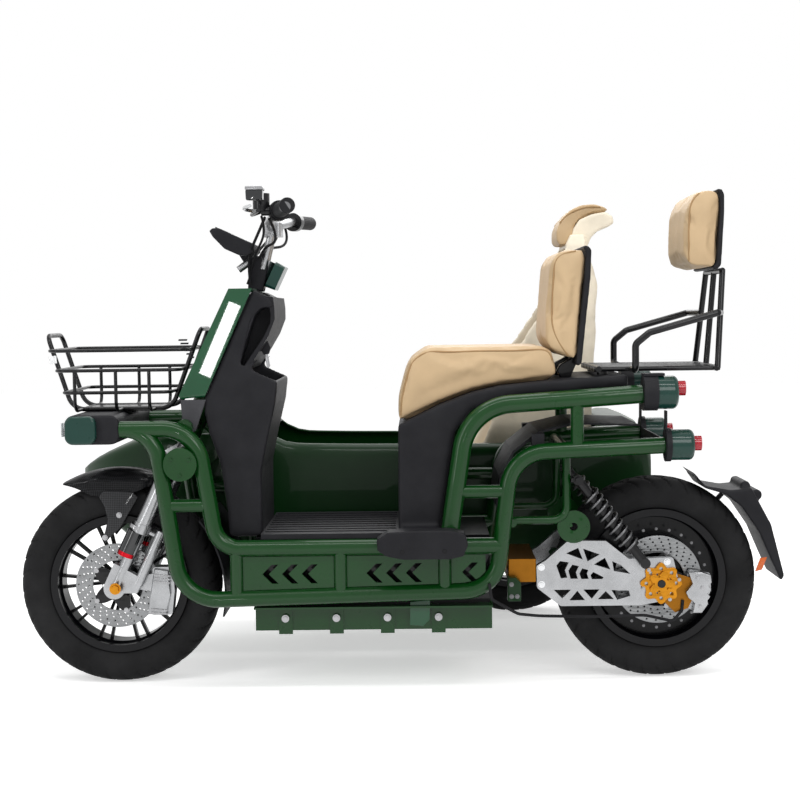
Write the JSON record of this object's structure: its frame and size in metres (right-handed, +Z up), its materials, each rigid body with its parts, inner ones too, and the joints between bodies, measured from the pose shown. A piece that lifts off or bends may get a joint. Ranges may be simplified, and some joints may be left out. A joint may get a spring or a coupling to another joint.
{
  "type": "electric sidecar tricycle",
  "caption": "Three-wheeled electric vehicle: an open tube-framed scooter with a passenger sidecar on its right side.",
  "frame": {"origin": "on the ground, under the middle of the vehicle's overall box, with the sidecar", "axes": "-X is the front of travel, -Y the vehicle's left side, +Y the sidecar side, +Z up"},
  "size_m": [1.8179, 1.2378, 1.1585],
  "materials": {
    "frame_green": "high gloss dark green paint",
    "panel_green": "gloss green panels",
    "lamp_green": "gloss blue-green caps",
    "body_green": "gloss dark green body paint",
    "black_plastic": "fine-grained black moulding",
    "black_metal": "semi-gloss black coating",
    "carbon": "dark woven pattern under lacquer",
    "tyre": "black rubber",
    "rubber": "soft black rubber",
    "rim_black": "gloss black",
    "aluminium": "machined, bright",
    "steel": "brushed disc",
    "gold": "gold anodised",
    "tan_leather": "tan synthetic leather",
    "cream": "cream satin",
    "clear": "clear lens",
    "red_lens": "red lens"
  },
  "bodies": {
    "chassis": {"basket": "black_metal", "battery": "black_metal", "battery_tray": "frame_green", "caliper_bracket": "gold", "floorboard": "black_plastic", "foot_step": "black_plastic", "frame_left": "frame_green", "frame_right": "frame_green", "front_lamp_caps": "lamp_green", "front_lamp_housing": "black_plastic", "front_lamp_lens": "clear", "front_liner": "black_plastic", "headstock": "frame_green", "hub_cover": "gold", "ignition_key": "steel", "leg_shield": "black_plastic", "leg_shield_panel": "panel_green", "pivot_beam": "gold", "rack": "black_metal", "rear_brake_hose": "rubber", "rear_caliper": "aluminium", "rear_liner": "black_plastic", "rear_mudguard": "black_plastic", "rear_shocks": "black_metal", "rider_backrest": "tan_leather", "rider_backrest_shell": "black_plastic", "seat": "tan_leather", "seat_body": "black_plastic", "side_panels": "black_metal", "sidecar_chassis": "frame_green", "sidecar_headrest": "tan_leather", "sidecar_mudguard": "body_green", "sidecar_seat": "tan_leather", "sidecar_seat_shell": "cream", "sidecar_tub": "body_green", "subframe": "frame_green", "swingarm": "aluminium", "tail_lamp_caps": "lamp_green", "tail_lamp_couplings": "black_plastic", "tail_lamp_lenses": "red_lens", "upper_backrest": "tan_leather", "upper_backrest_shell": "black_plastic"},
    "steering": {"fork": "aluminium", "handlebar": "aluminium", "grips": "rubber", "brake_levers_and_switches": "black_metal", "display": "black_plastic", "column_box": "lamp_green", "front_mudguard": "carbon", "front_caliper": "aluminium"},
    "front_wheel": {"front_tyre": "tyre", "front_rim": "rim_black", "front_disc": "steel"},
    "rear_wheel": {"rear_tyre": "tyre", "rear_hub_motor": "rim_black", "rear_disc": "steel"},
    "sidecar_wheel": {"sidecar_tyre": "tyre", "sidecar_rim": "rim_black"}
  },
  "joints": [
    {"name": "steering_turn", "type": "hinge", "parent": "chassis", "child": "steering", "pos_m": [-0.669, -0.2671, 0.24], "axis": [0.4305, 0, 0.9026], "range_deg": [-35, 35]},
    {"name": "front_wheel_spin", "type": "hinge", "parent": "steering", "child": "front_wheel", "pos_m": [-0.669, -0.2671, 0.24], "axis": [0, 1, 0], "continuous": true},
    {"name": "rear_wheel_spin", "type": "hinge", "parent": "chassis", "child": "rear_wheel", "pos_m": [0.611, -0.2671, 0.24], "axis": [0, 1, 0], "continuous": true},
    {"name": "sidecar_wheel_spin", "type": "hinge", "parent": "chassis", "child": "sidecar_wheel", "pos_m": [0.316, 0.5489, 0.24], "axis": [0, 1, 0], "continuous": true}
  ]
}
